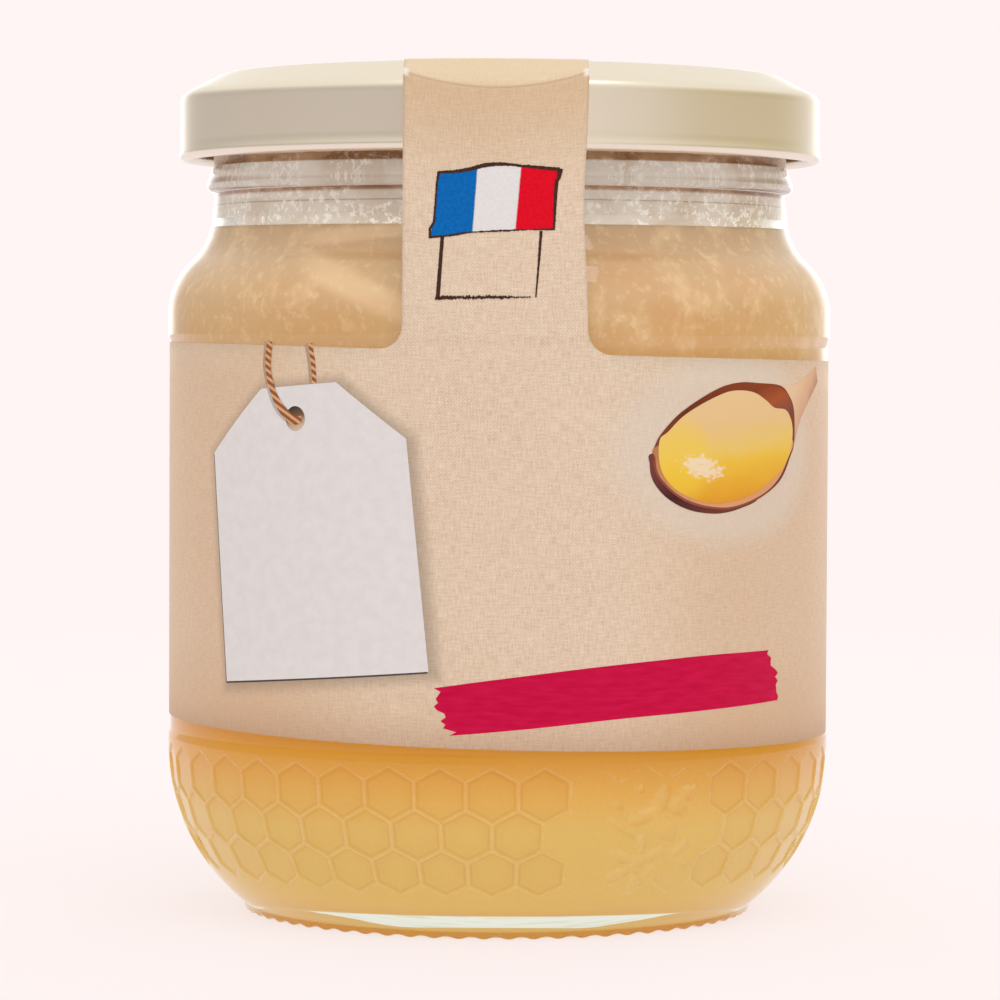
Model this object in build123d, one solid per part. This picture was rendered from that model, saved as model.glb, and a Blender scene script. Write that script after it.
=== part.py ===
from build123d import *
from math import asin, atan2, cos, pi, radians, sin, tan
import os

# A honey jar: a glass jar with a moulded comb, the honey in it, a twist-off lid, and a paper
# label whose strip runs up over the lid. Millimetres, +Z up. The origin is on the jar's axis,
# where it stands, and the label's front faces -Y.

# Glass, outside
body_radius = 41.1
shoulder_radius = 8.5         # the shoulder's outward round
throat_radius = 8.0           # its inward round, up into the neck
upper_land = 3.1              # plain band between the label's recess and the shoulder
neck_radius = 35.7
neck_top_radius = 35.4
neck_height = 2.65
bead_height = 2.9             # the ring below the lid
bead_radius = 36.44
finish_radius = 35.6          # the ring that the lid screws on
finish_height = 11.31
mouth_round = 1.1
heel_height = 20.5
foot_inset = 9.55             # from the body in to the foot
foot_height = 0.85            # the foot's upright outer side
foot_width = 2.8
foot_flat = 1.1               # the foot's plain width, inside the grooves
punt_depth = 2.2              # the hollow inside the foot
punt_slope = 7.0
groove_count = 66
groove_radius = 1.1
groove_depth = 0.3

# Glass, inside
wall = 2.4
bore_radius = 33.2
floor_height = 4.6
floor_corner = 7.0

# Comb moulded round the heel, in rows of upright hexagons
comb_count = 42
comb_rows = 3
comb_start = 0.8              # the top points, above the heel's top
comb_side = 3.35              # the upright sides
comb_point = 1.68             # the height of a point
comb_phase = 3.5              # degrees to the right of the front
comb_ridge = 0.55
comb_depth = 0.3
plain_count = 2               # panels with no comb, evenly spaced
plain_cells = 4               # their width
plain_start = 0.5             # the first one's left side, in cells from the phase

# Threads
thread_count = 4
thread_arc = 62.0
thread_tilt = 3.0
thread_drop = 6.0             # below the mouth
thread_width = 1.8
thread_depth = 1.9

# Lid
lid_sheet = 0.22
lid_gap = 0.03                # between the lid and the mouth
lid_height = 10.69
skirt_play = 1.98             # from the threads out to the skirt
shoulder_drop = 2.3           # the lid's sloping shoulder
shoulder_in = 0.6             # its lower edge, in from the skirt
edge_drop = 1.05              # the round below it, down to the skirt
curl_radius = 0.85
curl_stand = 0.15             # how far the curl stands out from the skirt
rim_inset = 0.6               # the flat rim's outer edge, in from the finish
rim_play = 0.6                # the recess, in from the bore
recess_depth = 0.7
recess_ramp = 0.9
lug_count = 4
lug_width = 9.0
lug_height = 1.5
lug_gap = 0.35                # between a lug and the glass

# Honey
headspace = 19.01             # from the mouth down to the honey
honey_gap = 0.03              # between the honey and the glass

# Label
paper = 0.12
label_gap = 0.03              # between the paper and what it sticks to
label_height = 46.01
label_margin = 1.0            # inside its recess, above and below
label_tilt = 1.4              # degrees, the right side lower
label_open = 12.0             # between its ends, at the back
recess_land = 0.5             # plain band between the comb and the recess
label_recess = 0.25
label_ramp = 0.6
strip_width = 21.4
strip_shift = -0.45           # the strip's middle, to the right of the front
strip_fillet = 2.7
strip_hold = 0.85             # above the shoulder's start, where the strip leaves the glass
strip_length = 33.0           # from the lid's edge over its top
cut_room = 5.0                # how far cutting shapes reach past what they cut

recess_radius = body_radius - label_recess
recess_low = heel_height + comb_start + recess_land + label_ramp
label_low = recess_low + label_margin
recess_high = label_low + label_height + label_margin
body_top = recess_high + label_ramp + upper_land
foot_radius = body_radius - foot_inset
heel_drop = heel_height - foot_height
heel_radius = (foot_inset**2 + heel_drop**2) / (2 * foot_inset)
heel_centre = body_radius - heel_radius


def shoulder_arcs(wide, narrow, first, second):
    """The two rounds that take a wall in from the body's top, and the height where they end."""
    across = narrow + second - wide + first
    rise = ((first + second) ** 2 - across**2) ** 0.5
    turn = atan2(rise, across)
    start = Vector(wide - first, body_top)
    end = Vector(narrow + second, body_top + rise)
    meet = start + Vector(first * cos(turn), first * sin(turn))
    lower = start + Vector(first * cos(turn / 2), first * sin(turn / 2))
    upper = end - Vector(second * cos(turn / 2), second * sin(turn / 2))
    arcs = [
        ThreePointArc((wide, body_top), lower, meet),
        ThreePointArc(meet, upper, (narrow, body_top + rise)),
    ]
    return arcs, body_top + rise


def heel_arc(radius, height):
    """The round of the heel at a radius from its own middle, from a height to the body."""
    low = -asin((heel_height - height) / radius)
    points = [
        (heel_centre + radius * cos(turn), heel_height + radius * sin(turn))
        for turn in (low, low / 2, 0)
    ]
    return ThreePointArc(*points), points[0][0]


shoulder_lines, neck_low = shoulder_arcs(body_radius, neck_radius, shoulder_radius, throat_radius)
bead_low = neck_low + neck_height
bead_high = bead_low + bead_height
mouth_height = bead_high + finish_height
lid_top = mouth_height + lid_gap + lid_sheet
lid_low = lid_top - lid_height
skirt_radius = finish_radius + thread_depth + skirt_play + lid_sheet
curl_outer = skirt_radius + curl_stand
rim_outer = finish_radius - rim_inset
rim_inner = bore_radius - rim_play
honey_level = mouth_height - headspace


def turned(lines):
    """The solid that a closed profile in X and Z makes round the jar's axis."""
    return revolve(Plane.XZ * make_face(lines), Axis.Z)


def sheet(inner, outer):
    """The solid between two lines that run side by side, round the jar's axis."""
    ends = [Line(inner[0] @ 0, outer[0] @ 0), Line(inner[-1] @ 1, outer[-1] @ 1)]
    return turned([*inner, *outer, *ends])


def filled_inside(gap, top):
    """The space inside the glass up to a height, held off the glass by a gap."""
    side, bore, floor = body_radius - wall - gap, bore_radius - gap, floor_height + gap
    first, second = shoulder_radius - wall - gap, throat_radius + wall + gap
    arcs, throat_top = shoulder_arcs(side, bore, first, second)
    heel, floor_radius = heel_arc(heel_radius - wall - gap, floor)
    lines = [Line((0, floor), (floor_radius, floor)), heel]
    lines += [Line((side, heel_height), (side, body_top)), *arcs]
    high = max(top, throat_top + 0.01)
    lines += [Polyline((bore, throat_top), (bore, high), (0, high), (0, floor))]
    space = turned(lines)
    space = fillet(space.edges().sort_by(Axis.Z)[0], floor_corner - gap)
    above = Pos(0, 0, top) * Cylinder(body_radius, high, align=(Align.CENTER, Align.CENTER, Align.MIN))
    return space - above


def outside():
    """The glass's outer form, solid, with its foot's hollow."""
    bead_widest = bead_low + bead_height * 0.3
    round_in = (bead_radius - neck_top_radius) * 0.25
    heel, _ = heel_arc(heel_radius, foot_height)
    lines = [heel]
    lines += [
        Polyline(
            (body_radius, heel_height),
            (body_radius, recess_low - label_ramp),
            (recess_radius, recess_low),
            (recess_radius, recess_high),
            (body_radius, recess_high + label_ramp),
            (body_radius, body_top),
        )
    ]
    lines += shoulder_lines
    lines += [
        Line((neck_radius, neck_low), (neck_top_radius, bead_low)),
        ThreePointArc(
            (neck_top_radius, bead_low),
            (bead_radius - round_in, bead_low + bead_height * 0.09),
            (bead_radius, bead_widest),
        ),
        ThreePointArc(
            (bead_radius, bead_widest),
            (bead_radius - round_in, bead_low + bead_height * 0.73),
            (finish_radius, bead_high),
        ),
        Polyline((finish_radius, bead_high), (finish_radius, mouth_height), (0, mouth_height)),
        Line((0, mouth_height), (0, punt_depth)),
        Polyline(
            (0, punt_depth),
            (foot_radius - foot_width - punt_slope, punt_depth),
            (foot_radius - foot_width, 0),
            (foot_radius, 0),
            (foot_radius, foot_height),
        ),
    ]
    return turned(lines)


def comb_plane(angle, length):
    """The plane that touches the heel at a length down it, with Y up the heel."""
    turn = length / heel_radius
    radius = heel_centre + heel_radius * cos(turn)
    height = heel_height - heel_radius * sin(turn)
    right = Vector(cos(radians(angle)), sin(radians(angle)), 0)
    ahead = Vector(sin(radians(angle)), -cos(radians(angle)), 0)
    out = ahead * cos(turn) - Vector(0, 0, sin(turn))
    return Plane(ahead * radius + Vector(0, 0, height), x_dir=right, z_dir=out)


def cell_outline(length):
    """A cell's hexagon, narrower down the heel."""
    rim = comb_ridge / 2
    widths = [
        (heel_centre + heel_radius * cos((length + down) / heel_radius)) * tan(pi / comb_count) - rim
        for down in (-comb_side / 2, comb_side / 2)
    ]
    corner, point = comb_side / 2 - rim * 0.3, comb_side / 2 + comb_point - rim * 1.1
    upper = [(-widths[0], corner), (0, point), (widths[0], corner)]
    lower = [(widths[1], -corner), (0, -point), (-widths[1], -corner)]
    return Polyline(*upper, *lower, close=True)


def comb_cutters():
    """One cutter for each cell outside the plain panels."""
    pitch = comb_side + comb_point
    step = 360 / comb_count
    cutters = []
    for row in range(comb_rows):
        length = comb_point + comb_side / 2 - comb_start + row * pitch
        for cell in range(comb_count):
            turns = cell + (0.5 if row % 2 == 0 else 0)
            place = (turns - plain_start) % (comb_count / plain_count)
            if 0 < place < plain_cells:
                continue
            plane = comb_plane(comb_phase + turns * step, length).offset(-comb_depth)
            face = plane * make_face(cell_outline(length))
            cutters.append(extrude(face, comb_depth * 4))
    return cutters


def foot_grooves():
    """Short grooves across the foot's outer edge."""
    start = foot_radius - foot_width + foot_flat
    groove = Rot(0, 90, 0) * Cylinder(groove_radius, foot_width * 2)
    middle = start + foot_width
    rings = PolarLocations(middle, groove_count)
    down = groove_radius - groove_depth
    return [Pos(0, 0, -down) * place * groove for place in rings]


def threads():
    """The sloping ridges that the lid's lugs hook under."""
    height = mouth_height - thread_drop
    inside, outer = finish_radius - 0.4, finish_radius + thread_depth
    profile = Polyline(
        (inside, height - thread_width / 2),
        (outer, height - thread_width / 4),
        (outer, height + thread_width / 4),
        (inside, height + thread_width / 2),
        close=True,
    )
    ridge = Rot(0, 0, -thread_arc / 2) * revolve(Plane.XZ * make_face(profile), Axis.Z, thread_arc)
    ridge = Pos(0, 0, height) * Rot(thread_tilt, 0, 0) * Pos(0, 0, -height) * ridge
    return [Rot(0, 0, turn * 360 / thread_count) * ridge for turn in range(thread_count)]


def glass_jar():
    body = outside() + threads()
    body -= filled_inside(0, mouth_height + cut_room)
    mouth = body.edges().filter_by(GeomType.CIRCLE).group_by(Axis.Z)[-1]
    body = fillet(mouth, mouth_round)
    return body - comb_cutters() - foot_grooves()


def lid_lines(gap):
    """The lid's outer line from its middle out and down to the skirt's top, at a distance."""
    high, side = lid_top + gap, skirt_radius + gap
    recess = high - recess_depth
    edge = Vector(side - shoulder_in, high - shoulder_drop)
    bulge = edge + Vector(shoulder_in * 0.7, -edge_drop * 0.4)
    rise = [(0, recess), (rim_inner - recess_ramp, recess), (rim_inner, high), (rim_outer, high)]
    return [Polyline(*rise, edge), ThreePointArc(edge, bulge, (side, high - shoulder_drop - edge_drop))]


def lid():
    """The pressed lid: a recessed top, a rim over the mouth, a skirt, a curl and lugs."""
    skirt_low = lid_low + curl_radius
    walls = []
    for gap in (-lid_sheet, 0):
        lines = lid_lines(gap)
        walls.append([*lines, Line(lines[-1] @ 1, (skirt_radius + gap, skirt_low))])
    shell = sheet(*walls)
    curl = Pos(0, 0, skirt_low) * Torus(curl_outer - curl_radius, curl_radius)
    inner = finish_radius + lug_gap
    reach = curl_outer - curl_radius - inner
    lug = Box(reach, lug_width, lug_height, align=(Align.MIN, Align.CENTER, Align.CENTER))
    lug = Pos(inner, 0, skirt_low) * lug
    return shell + curl + [Rot(0, 0, turn * 360 / lug_count) * lug for turn in range(lug_count)]


def honey():
    return filled_inside(honey_gap, honey_level)


def label_lines(gap):
    """The paper's line from the lid's middle down the skirt, across the neck and down the body."""
    radius, clear, on_lid = recess_radius + gap, body_radius + gap, curl_outer + gap
    lines = lid_lines(gap)
    edge = lines[-1] @ 1
    points = [
        edge,
        (on_lid, edge.Y),
        (on_lid, lid_low + curl_radius),
        (clear, body_top + strip_hold),
        (clear, recess_high + label_ramp),
        (radius, recess_high),
        (radius, recess_low),
    ]
    return [*lines, Polyline(*points)]


def label():
    """Paper round the body, with a strip that bridges the neck and ends on the lid."""
    shell = sheet(label_lines(label_gap), label_lines(label_gap + paper))
    front = Plane.XZ
    middle = label_low + label_height / 2
    reach = body_radius + cut_room
    band = Pos(0, middle) * Rot(0, 0, -label_tilt) * Rectangle(2 * reach, label_height)
    rise = lid_top + cut_room - middle
    strip = Pos(strip_shift, middle + rise / 2) * Rectangle(strip_width, rise)
    joined = band + strip
    corners = joined.vertices().filter_by(
        lambda v: abs(v.X - strip_shift) < strip_width / 2 + 0.01 and v.Y < lid_top
    )
    joined = fillet(corners, strip_fillet)
    strip_start = curl_outer - strip_length
    outline = extrude(front.offset(strip_start) * joined, reach)
    outline += extrude(front.offset(-reach) * band, reach + strip_start)
    opening = Box(label_open, reach, 2 * lid_top, align=(Align.CENTER, Align.MIN, Align.CENTER))
    return (shell & outline) - opening


if __name__ == "__main__":
    os.makedirs("parts", exist_ok=True)
    for make in (label, lid, honey, glass_jar):
        solid = make()
        print(make.__name__, "volume", round(solid.volume, 1))
        export_step(solid, f"parts/{make.__name__}.step")
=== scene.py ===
import math

import bmesh
import bpy
import numpy as np
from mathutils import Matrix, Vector


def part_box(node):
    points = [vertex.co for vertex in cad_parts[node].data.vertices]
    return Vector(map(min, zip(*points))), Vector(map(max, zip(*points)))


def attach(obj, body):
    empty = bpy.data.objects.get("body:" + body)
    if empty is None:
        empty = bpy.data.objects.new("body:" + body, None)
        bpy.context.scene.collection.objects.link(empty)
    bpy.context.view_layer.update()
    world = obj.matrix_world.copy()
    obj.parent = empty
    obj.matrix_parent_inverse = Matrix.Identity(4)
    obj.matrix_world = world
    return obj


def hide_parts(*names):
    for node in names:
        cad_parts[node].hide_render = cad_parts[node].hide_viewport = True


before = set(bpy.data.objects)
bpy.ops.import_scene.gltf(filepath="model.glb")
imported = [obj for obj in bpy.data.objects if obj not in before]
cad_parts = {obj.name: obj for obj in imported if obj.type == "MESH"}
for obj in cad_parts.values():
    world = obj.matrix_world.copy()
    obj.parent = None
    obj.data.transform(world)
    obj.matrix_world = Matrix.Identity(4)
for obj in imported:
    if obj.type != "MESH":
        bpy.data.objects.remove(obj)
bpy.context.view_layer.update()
mm = 0.001                         # lengths below are in millimetres unless a line says metres


# ---- small tools: arrays to meshes ----

def nodeBox(name):
    # a CAD node's lowest and highest corners in millimetres
    low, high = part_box(name)
    return np.array(low) / mm, np.array(high) / mm


def arcPoints(centre, radius, start, end, count):
    # points on a circle: centre + radius * (cos, sin) from one angle to another, in degrees
    turns = np.radians(np.linspace(start, end, count))
    return np.stack([centre[0] + radius * np.cos(turns), centre[1] + radius * np.sin(turns)], 1)


def linePoints(start, end, count):
    # points spaced evenly on a straight line
    share = np.linspace(0, 1, count)[:, None]
    return np.array(start) * (1 - share) + np.array(end) * share


def joinLines(*parts):
    # lines end to end, with each repeated meeting point kept once
    points = np.concatenate(parts)
    apart = np.linalg.norm(np.diff(points, axis=0), axis=1) > 1e-6
    return points[np.concatenate([[True], apart])]


def gridFaces(rows, columns, closed=False, start=0):
    # four corners for each cell of a grid whose points run along its columns first
    row, column = np.meshgrid(np.arange(rows - 1), np.arange(columns - (not closed)), indexing="ij")
    beside = (column + 1) % columns
    corners = [row * columns + column, row * columns + beside,
               (row + 1) * columns + beside, (row + 1) * columns + column]
    return np.stack(corners, -1).reshape(-1, 4) + start


def turnedGrid(profile, turns):
    # a profile of radius and height carried round the axis: (r sin t, -r cos t, z), front at t = 0
    radius, height = profile[:, :1], profile[:, 1:]
    points = np.stack([radius * np.sin(turns), -radius * np.cos(turns),
                       np.broadcast_to(height, (len(profile), len(turns)))], -1)
    return points.reshape(-1, 3), gridFaces(len(profile), len(turns), closed=True)


def facedOut(points, faces):
    # a grid turned over if its normals, across the faces' diagonals, mostly point toward the axis
    corners = points[faces]
    normal = np.cross(corners[:, 2] - corners[:, 0], corners[:, 3] - corners[:, 1])
    inward = (normal * corners.mean(1) * [1, 1, 0]).sum() < 0
    return points, faces[:, ::-1] if inward else faces


def makePiece(name, grids, material, uv=None, marks=None, weld=1e-4, close=True):
    # grids of points and faces welded into one piece, in its place in the mesh, riding on the root
    if not close:
        grids = [facedOut(*grid) for grid in grids]
    points = np.concatenate([grid[0] for grid in grids])
    counts = np.cumsum([0] + [len(grid[0]) for grid in grids])
    faces = np.concatenate([grid[1] + start for grid, start in zip(grids, counts)])
    mesh = bpy.data.meshes.new(name)
    mesh.from_pydata((points * mm).tolist(), [], faces.tolist())
    if uv is not None:
        corners = np.empty(len(mesh.loops), np.int32)
        mesh.loops.foreach_get("vertex_index", corners)
        mesh.uv_layers.new(name="flat").data.foreach_set("uv", (uv[corners] * 0.01).ravel())
    # painted light and shade for each point, kept for the glass's material
    if marks is not None:
        mesh.attributes.new("marks", "FLOAT", "POINT").data.foreach_set("value", marks)
    shape = bmesh.new()
    shape.from_mesh(mesh)
    bmesh.ops.remove_doubles(shape, verts=shape.verts, dist=weld * mm)
    if close:
        bmesh.ops.recalc_face_normals(shape, faces=shape.faces)
    shape.to_mesh(mesh)
    shape.free()
    mesh.polygons.foreach_set("use_smooth", np.ones(len(mesh.polygons), bool))
    piece = bpy.data.objects.new(name, mesh)
    bpy.context.scene.collection.objects.link(piece)
    mesh.materials.append(material)
    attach(piece, "root")
    return piece


# ---- small tools: shader nodes ----

def colour(red, green, blue):
    # a colour as seen, 0 to 255, turned into linear light
    seen = np.array([red, green, blue]) / 255
    light = np.where(seen > 0.04045, ((seen + 0.055) / 1.055) ** 2.4, seen / 12.92)
    return (*light.tolist(), 1.0)


class Value:
    # a number from a socket: the operators add Math nodes
    def __init__(self, nodes, socket):
        self.nodes, self.socket = nodes, socket

    def math(self, operation, *values):
        return self.nodes.maths(operation, self, *values)

    def __add__(self, other): return self.math("ADD", other)
    def __radd__(self, other): return self.nodes.maths("ADD", other, self)
    def __sub__(self, other): return self.math("SUBTRACT", other)
    def __rsub__(self, other): return self.nodes.maths("SUBTRACT", other, self)
    def __mul__(self, other): return self.math("MULTIPLY", other)
    def __rmul__(self, other): return self.nodes.maths("MULTIPLY", other, self)
    def __truediv__(self, other): return self.math("DIVIDE", other)
    def __rtruediv__(self, other): return self.nodes.maths("DIVIDE", other, self)
    def __pow__(self, other): return self.math("POWER", other)
    def __abs__(self): return self.math("ABSOLUTE")


class Nodes:
    # one material's or the world's node tree
    def __init__(self, owner):
        owner.use_nodes = True
        self.owner, self.tree = owner, owner.node_tree
        self.tree.nodes.clear()

    def add(self, kind, settings=None, sockets=None):
        # any node: its type, its settings, then the values or links of its sockets by name or place
        node = self.tree.nodes.new(kind)
        for key, setting in (settings or {}).items():
            if key == "stops":
                ramp = node.color_ramp
                while len(ramp.elements) < len(setting):
                    ramp.elements.new(0.5)
                for element, (place, shade) in zip(ramp.elements, setting):
                    element.position, element.color = place, shade
            else:
                setattr(node, key, setting)
        for key, given in (sockets or {}).items():
            if isinstance(given, Value):
                given = given.socket
            if isinstance(given, bpy.types.NodeSocket):
                self.tree.links.new(given, node.inputs[key])
            else:
                node.inputs[key].default_value = given
        return node

    def value(self, node, output=0):
        return Value(self, node.outputs[output])

    def maths(self, operation, *values):
        node = self.add("ShaderNodeMath", {"operation": operation}, dict(enumerate(values)))
        return self.value(node)

    def mix(self, share, first, second, blend="MIX"):
        node = self.add("ShaderNodeMix", {"data_type": "RGBA", "blend_type": blend},
                        {0: share, 6: first, 7: second})
        return node.outputs[2]

    def place(self):
        # the piece's own coordinates, in metres
        return self.add("ShaderNodeTexCoord").outputs["Object"]

    def flat(self):
        # the piece's flat map, in hundredths of a millimetre's hundred: 1 is 100 mm
        return self.add("ShaderNodeUVMap", {"uv_map": "flat"}).outputs[0]

    def parts(self, vector):
        node = self.add("ShaderNodeSeparateXYZ", None, {0: vector})
        return [self.value(node, axis) for axis in range(3)]

    def stretched(self, vector, scale):
        return self.add("ShaderNodeMapping", None, {"Vector": vector, "Scale": scale}).outputs[0]

    def noise(self, vector, scale, detail=3.0, roughness=0.55):
        node = self.add("ShaderNodeTexNoise", None, {"Vector": vector, "Scale": scale,
                                                     "Detail": detail, "Roughness": roughness})
        return self.value(node)

    def step(self, value, low, high):
        # 0 below low, 1 above high, smooth between
        node = self.add("ShaderNodeMapRange", {"interpolation_type": "SMOOTHSTEP"},
                        {"Value": value, "From Min": low, "From Max": high})
        return self.value(node)

    def ramp(self, value, stops):
        shown = [(place, colour(*shade)) for place, shade in stops]
        return self.add("ShaderNodeValToRGB", {"stops": shown}, {0: value}).outputs[0]

    def bump(self, height, strength, distance):
        return self.add("ShaderNodeBump", None, {"Height": height, "Strength": strength,
                                                 "Distance": distance * mm}).outputs[0]

    def surface(self, sockets):
        return self.add("ShaderNodeBsdfPrincipled", None, sockets).outputs[0]

    def finish(self, shader):
        kind = "ShaderNodeOutputWorld" if isinstance(self.owner, bpy.types.World) else "ShaderNodeOutputMaterial"
        self.add(kind, None, {"Surface": shader})
        return self.owner


def newNodes(name):
    return Nodes(bpy.data.materials.new(name))


# ---- the jar's sizes ----

glassLow, glassHigh = nodeBox("glass_jar")
honeyLow, honeyHigh = nodeBox("honey")
lidLow, lidHigh = nodeBox("lid")

jar = {
    "radius": glassHigh[0],        # the widest part of the body
    "mouth": glassHigh[2],
    "wall": 2.4,
    "bore": 33.2,
    "floor": 4.6,
    "heelTop": 20.5,
    "footRadius": glassHigh[0] - 9.55,
    "footHeight": 0.85,
    "footWidth": 2.8,
    "puntDepth": 2.2,
    "panelLow": 22.4,              # the label's recess
    "panelHigh": 70.41,
    "panelDepth": 0.25,
    "bodyTop": 74.11,
    "shoulderRound": 8.5,
    "throatRound": 8.0,
    "neckRadius": 35.7,
    "neckTopRadius": 35.4,
    "beadRadius": 36.44,
    "finishRadius": 35.6,
    "beadBelowMouth": (14.21, 11.31),
    "grooves": 66,
    "grooveDepth": 0.3,
    "grooveReach": 1.7,            # from the foot's outer edge in
    "floorRound": 7.0,
}
comb = {
    "cells": 42,
    "rows": 3,
    "start": 0.8,                  # the top points, above the heel's top
    "side": 3.35,
    "point": 1.68,
    "phase": 3.5,                  # degrees to the right of the front
    "depth": 0.34,
    "edgeSteps": 6,                # points along each side of a hexagon
    "plainStart": 0.5,             # plain panel's left side, in cells from the phase
    "plainCells": 4,
    "reliefHeight": 0.42,
}
heelInset = jar["radius"] - jar["footRadius"]
heelRound = (heelInset ** 2 + (jar["heelTop"] - jar["footHeight"]) ** 2) / (2 * heelInset)
heelMiddle = jar["radius"] - heelRound
columnCount = comb["cells"] * comb["edgeSteps"] * 2
aroundTurns = np.radians(comb["phase"]) + np.arange(columnCount) * 2 * np.pi / columnCount


def shoulderLine(wide, narrow, first, second, count=14):
    # two rounds that meet: out along a circle from the body, then in along one up to the neck
    across = narrow + second - wide + first
    rise = math.sqrt((first + second) ** 2 - across ** 2)
    turn = math.degrees(math.atan2(rise, across))
    top = jar["bodyTop"] + rise
    return joinLines(arcPoints((wide - first, jar["bodyTop"]), first, 0, turn, count),
                     arcPoints((narrow + second, top), second, 180 + turn, 180, count))


def heelSurface(length):
    # radius, height and slope at a length down the heel; above its top the wall is upright
    turn = np.maximum(length, 0) / heelRound
    radius = heelMiddle + heelRound * np.cos(turn)
    height = jar["heelTop"] - heelRound * np.sin(turn) - np.minimum(length, 0)
    return radius, height, turn


def onHeel(cells, length, depth):
    # a point on the heel, in cells round and millimetres down, sunk along the surface's normal
    radius, height, turn = heelSurface(length)
    around = np.radians(comb["phase"]) + cells * 2 * np.pi / comb["cells"]
    radius = radius - depth * np.cos(turn)
    height = height + depth * np.sin(turn)
    return np.stack([radius * np.sin(around), -radius * np.cos(around), height], -1)


def reliefAt(across, height):
    # a bee over a flower head: soft low domes, each an ellipse of (x, z, half length, half width, tilt)
    shapes = [
        (2.6, 14.2, 2.6, 1.25, -42), (4.6, 16.4, 1.25, 1.15, 0), (5.9, 17.9, 0.95, 0.85, 0),
        (2.2, 16.8, 2.3, 0.85, 72), (0.4, 15.4, 2.5, 0.8, 18), (6.6, 18.3, 0.8, 0.22, 60),
        (-3.4, 16.8, 0.5, 0.5, 0), (-0.6, 18.6, 0.45, 0.45, 0), (-2.6, 14.0, 2.2, 0.32, -35),
        (0.2, 9.6, 1.1, 1.1, 0), (-2.1, 10.5, 1.5, 0.62, 155), (-2.0, 8.4, 1.5, 0.62, 25),
        (0.3, 7.1, 1.3, 0.6, 92), (2.5, 8.4, 1.5, 0.62, 150), (2.5, 10.7, 1.5, 0.62, 30),
        (0.2, 12.1, 1.3, 0.55, 90), (5.6, 11.2, 1.4, 0.5, 40), (6.9, 9.2, 1.2, 0.45, -20),
    ]
    domes = np.zeros(np.shape(across))
    for x, z, long, wide, tilt in shapes:
        c, s = math.cos(math.radians(tilt)), math.sin(math.radians(tilt))
        along = (across - x) * c + (height - z) * s
        aside = -(across - x) * s + (height - z) * c
        dome = 1 - (along / long) ** 2 - (aside / wide) ** 2
        domes = np.maximum(domes, np.sqrt(np.clip(dome, 0, 1)))
    return domes


def combGrids():
    # every hexagon as rings from its shared crest in to its flat middle, with painted light and shade: 1, a painted
    # highlight, on the crest, and painted shade (below 0) just inside it
    side, point, steps = comb["side"], comb["point"], comb["edgeSteps"]
    corners = np.array([(0, -side / 2 - point), (0.5, -side / 2), (0.5, side / 2),
                        (0, side / 2 + point), (-0.5, side / 2), (-0.5, -side / 2)])
    share = np.arange(steps)[None, :, None] / steps
    rim = (corners[:, None] * (1 - share) + np.roll(corners, -1, 0)[:, None] * share).reshape(-1, 2)
    half = comb["cells"] / 2
    grids, marks = [], []
    for row in range(comb["rows"]):
        middle = point + side / 2 - comb["start"] + row * (side + point)
        turns = np.arange(comb["cells"]) + (0.5 if row % 2 == 0 else 0)
        place = (turns - comb["plainStart"]) % half
        plain = (place > 0) & (place < comb["plainCells"])
        # each ring's painted shading: a highlight on the crest, shade just inside it, none in the middle
        for chosen, rings, rise, cellShading in (
            (turns[~plain], [1, 0.97, 0.92, 0.86, 0.8, 0.4, 0], [0, 0.1, 0.85, 1, 1, 1, 1],
             [1, 0.5, -0.5, -1, -0.3, 0, 0]),
            (turns[plain], np.linspace(1, 0, 13), np.zeros(13), np.zeros(13)),
        ):
            rings, rise = np.array(rings), np.array(rise)
            cells = chosen[:, None, None] + rings[None, :, None] * rim[:, 0]
            length = middle + rings[None, :, None] * rim[:, 1] + 0 * cells
            pitch = heelSurface(length)[0] * 2 * np.pi / comb["cells"]
            aside = (cells - chosen[:, None, None]) * pitch
            flat = comb["depth"] - aside ** 2 / (2 * jar["radius"]) - (length - middle) ** 2 / (2 * heelRound)
            depth = flat * rise[None, :, None]
            if rise[-1] == 0:
                panelMiddle = comb["plainStart"] + comb["plainCells"] / 2
                across = ((cells - panelMiddle + half / 2) % half - half / 2) * pitch
                level = heelSurface(length)[1]
                depth = -comb["reliefHeight"] * reliefAt(across, level)
                # painted light on the domes' upper left side, painted shade on their lower right
                lit = reliefAt(across + 0.2, level - 0.2) - reliefAt(across - 0.2, level + 0.2)
                cellShading = np.clip(lit * 1.6, -0.8, 0.7)
            points = onHeel(cells, length, depth)
            faces = gridFaces(len(rings), len(rim), closed=True)
            starts = np.arange(len(chosen))[:, None, None] * len(rings) * len(rim)
            grids.append((points.reshape(-1, 3), (faces[None] + starts).reshape(-1, 4)))
            marks.append((cellShading if np.ndim(cellShading) == 3 else np.array(cellShading)[None, :, None] + 0 * cells).ravel())
    return grids, np.concatenate(marks)


def combBorder(top):
    # the band between the zigzag of the outermost points and a level line, with a painted highlight on the zigzag
    side, point = comb["side"], comb["point"]
    cells = np.arange(columnCount) / (comb["edgeSteps"] * 2)
    wave = np.abs((cells * 2) % 2 - 1)             # 1 where an upright side meets, 0 at a point
    last = point * 2 + side - comb["start"] + (comb["rows"] - 1) * (side + point)
    zigzag = point * wave - comb["start"] if top else last - point * wave
    level = -comb["start"] - 0.35 if top else last + 0.5
    away = -0.14 if top else 0.14
    lengths = np.stack([np.full(columnCount, level), zigzag + away, zigzag])
    points = onHeel(np.broadcast_to(cells, lengths.shape), lengths, 0)
    marks = np.repeat([0.0, 0.0, 1.0], columnCount)
    return (points.reshape(-1, 3), gridFaces(3, columnCount, closed=True)), marks, level


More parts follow.
